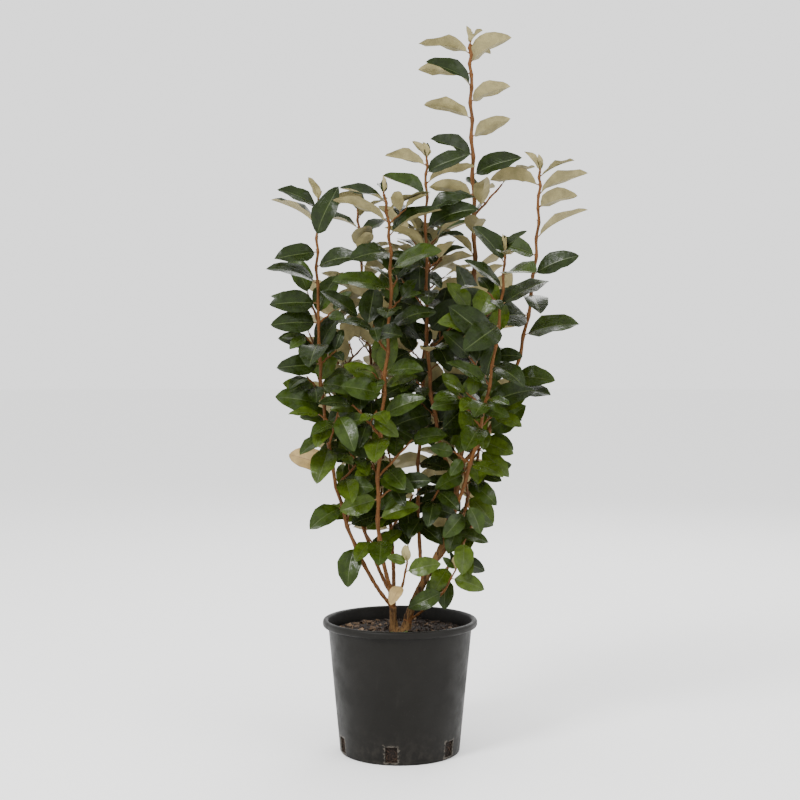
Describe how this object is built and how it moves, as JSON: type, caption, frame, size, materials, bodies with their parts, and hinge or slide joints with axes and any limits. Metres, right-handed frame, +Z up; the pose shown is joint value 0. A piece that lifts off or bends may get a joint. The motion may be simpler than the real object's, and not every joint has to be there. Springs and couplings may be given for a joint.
{
  "type": "potted elaeagnus shrub",
  "caption": "Evergreen shrub with upright leafy stems on two short trunks, growing in a round plastic nursery pot filled with compost.",
  "frame": {"origin": "centre of the pot's flat underside", "axes": "+Z up along the pot's axis; the shrub's broad face looks to -Y, +X to its right"},
  "size_m": [0.4541, 0.3562, 1.0338],
  "materials": {
    "pot_plastic": "matte, lightly scuffed",
    "compost": "coarse, with bark chips",
    "bark": "rough",
    "leaves": "glossy green above, pale and matte beneath"
  },
  "bodies": {
    "root": {"pot": "pot_plastic", "compost": "compost", "root_crown": "bark", "trunk_left": "bark", "trunk_right": "bark", "bough_front": "bark", "bough_leader": "bark", "bough_left": "bark", "bough_right": "bark", "bough_centre": "bark", "bough_inner": "bark", "bough_back": "bark", "bough_back_left": "bark", "bough_back_right": "bark", "bough_front_right": "bark", "bough_low_right": "bark", "bough_low_back": "bark", "bough_low_middle": "bark", "bough_low_front": "bark", "foliage_front": "leaves", "foliage_leader": "leaves", "foliage_left": "leaves", "foliage_right": "leaves", "foliage_centre": "leaves", "foliage_inner": "leaves", "foliage_back": "leaves", "foliage_back_left": "leaves", "foliage_back_right": "leaves", "foliage_front_right": "leaves", "foliage_low_right": "leaves", "foliage_low_back": "leaves", "foliage_low_middle": "leaves", "foliage_low_front": "leaves"}
  },
  "joints": []
}
